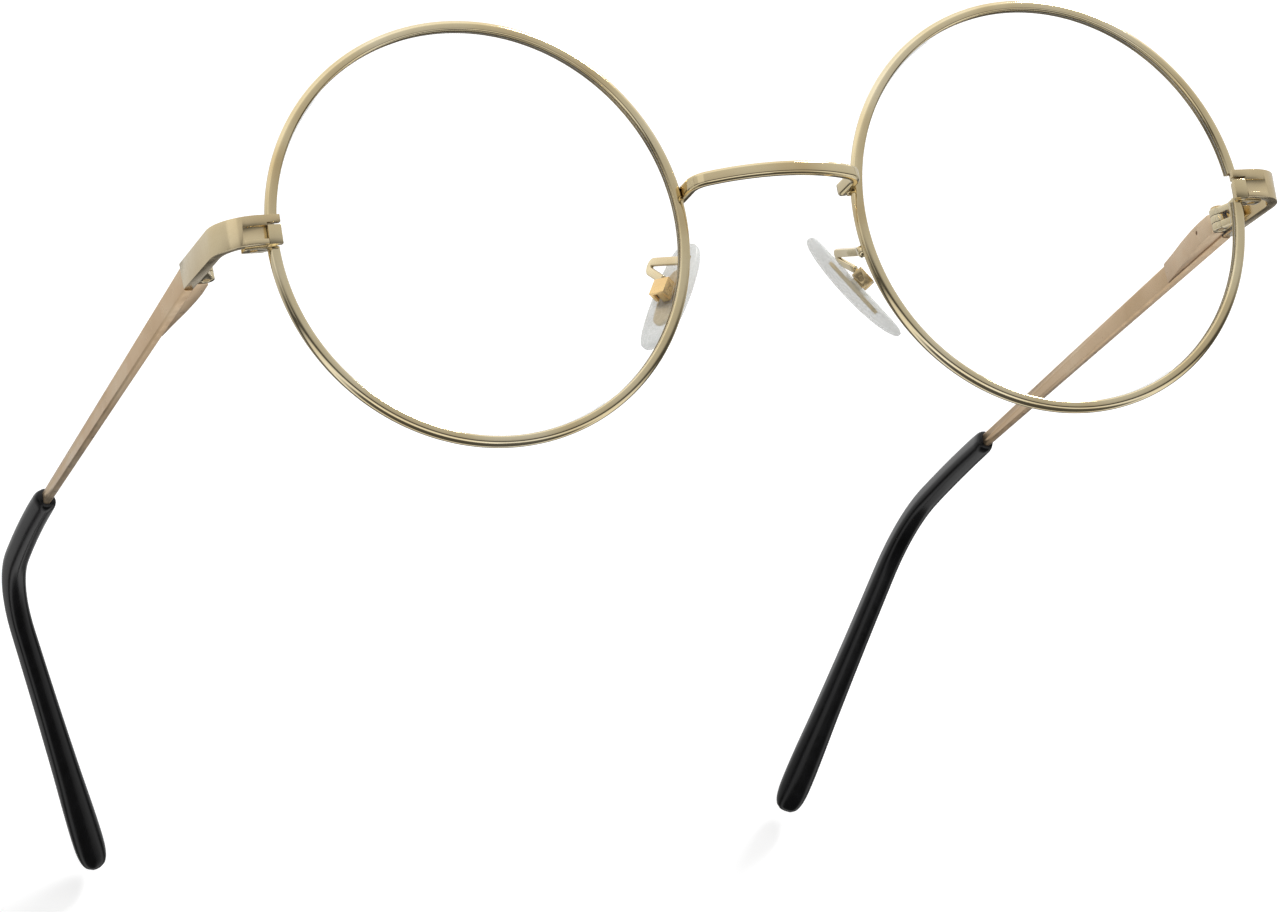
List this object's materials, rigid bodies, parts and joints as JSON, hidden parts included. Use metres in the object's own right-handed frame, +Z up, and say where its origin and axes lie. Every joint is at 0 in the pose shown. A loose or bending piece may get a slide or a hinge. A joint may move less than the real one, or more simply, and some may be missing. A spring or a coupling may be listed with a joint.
{
  "type": "round wire eyeglasses",
  "caption": "Round full-rim wire eyeglasses with a bowed bridge, adjustable nose pads, spring-hinged folding temples and curved black ear tips.",
  "frame": {"origin": "centre of the bounding box at its lowest level, the table that the open glasses stand on", "axes": "+X to the wearer's left, -Y to the front (the way the lenses face), +Z up; the open glasses rest on the bottoms of the rims and the ends of the tips"},
  "size_m": [0.1356, 0.1478, 0.0509],
  "materials": {
    "polished_gold": "polished pale champagne-gold plating",
    "satin_gold": "satin pale gold plating",
    "pad_hardware": "bright orange-gold plating",
    "spring_steel": "drawn wire",
    "black_acetate": "polished black acetate",
    "silicone": "translucent silicone",
    "clear_lens": "clear with a smooth anti-reflection coat"
  },
  "bodies": {
    "front": {"bridge": "polished_gold", "rim_left": "polished_gold", "lens_left": "clear_lens", "end_piece_left": "satin_gold", "rim_lock_upper_left": "polished_gold", "rim_lock_lower_left": "polished_gold", "rim_lock_screw_left": "pad_hardware", "hinge_leaf_left": "polished_gold", "hinge_screw_left": "pad_hardware", "pad_arm_left": "polished_gold", "pad_box_left": "pad_hardware", "pad_screw_left": "pad_hardware", "rim_right": "polished_gold", "lens_right": "clear_lens", "end_piece_right": "satin_gold", "rim_lock_upper_right": "polished_gold", "rim_lock_lower_right": "polished_gold", "rim_lock_screw_right": "pad_hardware", "hinge_leaf_right": "polished_gold", "hinge_screw_right": "pad_hardware", "pad_arm_right": "polished_gold", "pad_box_right": "pad_hardware", "pad_screw_right": "pad_hardware"},
    "left_slider": {"hinge_slider_left": "polished_gold"},
    "left_temple": {"temple_left": "satin_gold", "temple_tip_left": "black_acetate", "hinge_housing_left": "satin_gold", "hinge_spring_left": "spring_steel"},
    "left_nose_pad": {"nose_pad_left": "silicone", "pad_insert_left": "pad_hardware"},
    "right_slider": {"hinge_slider_right": "polished_gold"},
    "right_temple": {"temple_right": "satin_gold", "temple_tip_right": "black_acetate", "hinge_housing_right": "satin_gold", "hinge_spring_right": "spring_steel"},
    "right_nose_pad": {"nose_pad_right": "silicone", "pad_insert_right": "pad_hardware"}
  },
  "joints": [
    {"name": "left_fold", "type": "hinge", "parent": "front", "child": "left_slider", "pos_m": [0.06525, -0.05292, 0.0283], "axis": [0, -0.0401, 0.9992], "range_deg": [0, 87]},
    {"name": "left_spring_travel", "type": "slide", "parent": "left_slider", "child": "left_temple", "axis": [-0.0358, 0.9986, 0.0401], "range_m": [0, 0.0008], "stiffness_N_per_m": 600, "deforming": ["hinge_spring_left"]},
    {"name": "left_pad_rock", "type": "hinge", "parent": "front", "child": "left_nose_pad", "pos_m": [0.01264, -0.06025, 0.01956], "axis": [0.454, 0.8586, 0.2383], "range_deg": [-4, 4]},
    {"name": "right_fold", "type": "hinge", "parent": "front", "child": "right_slider", "pos_m": [-0.06525, -0.05292, 0.0283], "axis": [0, 0.0401, -0.9992], "range_deg": [0, 76]},
    {"name": "right_spring_travel", "type": "slide", "parent": "right_slider", "child": "right_temple", "axis": [0.0358, 0.9986, 0.0401], "range_m": [0, 0.0008], "stiffness_N_per_m": 600, "deforming": ["hinge_spring_right"]},
    {"name": "right_pad_rock", "type": "hinge", "parent": "front", "child": "right_nose_pad", "pos_m": [-0.01264, -0.06025, 0.01956], "axis": [0.454, -0.8586, -0.2383], "range_deg": [-4, 4]}
  ]
}
